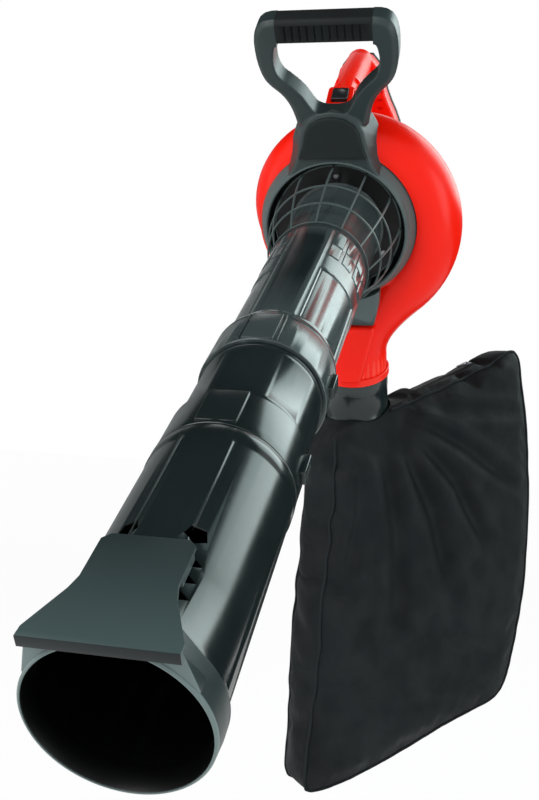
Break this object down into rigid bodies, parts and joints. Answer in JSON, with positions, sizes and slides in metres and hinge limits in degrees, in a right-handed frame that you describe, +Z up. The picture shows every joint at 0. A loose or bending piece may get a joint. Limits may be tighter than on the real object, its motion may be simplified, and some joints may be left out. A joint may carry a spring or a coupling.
{
  "type": "leaf blower vacuum",
  "caption": "Hand-held electric leaf blower vacuum with a long suction tube, mouth plate, guard cage, snail housing, front D-handle, rear switch handle and hanging cloth bag.",
  "frame": {"origin": "middle of the rear handle's bar, where the rear hand holds the machine up", "axes": "+Z up as the machine is carried, -Y ahead over the suction tube, which slopes 30 degrees down; +X is on the right when the machine is seen from its mouth, the side of the tube catches and of the scroll's full reach"},
  "size_m": [0.419, 1.2156, 1.1382],
  "materials": {
    "red_plastic": "satin gloss",
    "black_plastic": "satin",
    "dark_panel": "fine matt grain",
    "soft_grip": "matt, ribbed",
    "switch_black": "satin",
    "natural_nylon": "matt",
    "bag_cloth": "woven",
    "zip_nylon": "tape with teeth",
    "steel": "satin",
    "lamination": "stacked sheet",
    "light_alloy": "as cast",
    "copper": "bare copper",
    "carbon": "pressed carbon",
    "zinc": "dark zinc plate"
  },
  "bodies": {
    "housing": {"upper_tube": "black_plastic", "middle_tube": "black_plastic", "lower_tube": "black_plastic", "nozzle_ring": "black_plastic", "intake_cover": "black_plastic", "intake_guard": "black_plastic", "cover_screw_1": "zinc", "cover_screw_2": "zinc", "cover_screw_3": "zinc", "volute_front_shell": "red_plastic", "volute_rear_shell": "red_plastic", "housing_screw_1": "zinc", "housing_screw_2": "zinc", "housing_screw_3": "zinc", "outlet_collar": "black_plastic", "front_handle": "black_plastic", "front_grip": "soft_grip", "neck_panel": "dark_panel", "main_handle_left": "red_plastic", "main_handle_right": "red_plastic", "handle_screw_1": "zinc", "handle_screw_2": "zinc", "grip_insert": "soft_grip", "switch_bezel": "switch_black", "switch_module": "natural_nylon", "motor_housing": "red_plastic", "rear_cover": "black_plastic", "cord_inlet": "black_plastic", "motor_can": "steel", "rear_bracket": "light_alloy", "front_bearing": "steel", "rear_bearing": "steel", "stator_core": "lamination", "field_coil_upper": "copper", "field_coil_lower": "copper", "carbon_brush_left": "carbon", "carbon_brush_right": "carbon", "brush_holder_left": "copper", "brush_holder_right": "copper", "brush_spring_left": "steel", "brush_spring_right": "steel", "bag_body": "bag_cloth", "bag_mouth_ring": "black_plastic", "bag_zip": "zip_nylon"},
    "rotor": {"motor_shaft": "steel", "armature_core": "lamination", "armature_windings": "copper", "commutator": "copper", "cooling_fan": "natural_nylon", "impeller": "light_alloy", "fan_spacer": "steel", "shredder_blade": "steel", "impeller_nut": "steel"},
    "thumb_switch": {"power_switch": "switch_black"},
    "plate": {"scraper_plate": "black_plastic"},
    "upper_catch": {"tube_catch_upper": "black_plastic"},
    "lower_catch": {"tube_catch_lower": "black_plastic"},
    "slider": {"zip_slider": "zinc"},
    "pull_tab": {"zip_pull": "zinc"}
  },
  "joints": [
    {"name": "fan_spin", "type": "hinge", "parent": "housing", "child": "rotor", "pos_m": [0, -0.07338, -0.23289], "axis": [0, -0.866, -0.5], "continuous": true},
    {"name": "switch_slide", "type": "slide", "parent": "housing", "child": "thumb_switch", "axis": [0, -0.6157, -0.788], "range_m": [0, 0.005]},
    {"name": "plate_slide", "type": "slide", "parent": "housing", "child": "plate", "axis": [0, -0.866, -0.5], "range_m": [0, 0.035]},
    {"name": "upper_catch_press", "type": "slide", "parent": "housing", "child": "upper_catch", "axis": [-1, 0, 0], "range_m": [0, 0.0018], "stiffness_N_per_m": 2000},
    {"name": "lower_catch_press", "type": "slide", "parent": "housing", "child": "lower_catch", "axis": [-1, 0, 0], "range_m": [0, 0.0018], "stiffness_N_per_m": 2000},
    {"name": "zip_run", "type": "slide", "parent": "housing", "child": "slider", "axis": [-0.7424, -0.5198, -0.4226], "range_m": [0, 0.1]},
    {"name": "zip_pull_swing", "type": "hinge", "parent": "slider", "child": "pull_tab", "pos_m": [0.17477, 0.25859, -0.3893], "axis": [-0.5736, 0.8191, 0], "range_deg": [0, 150]}
  ]
}
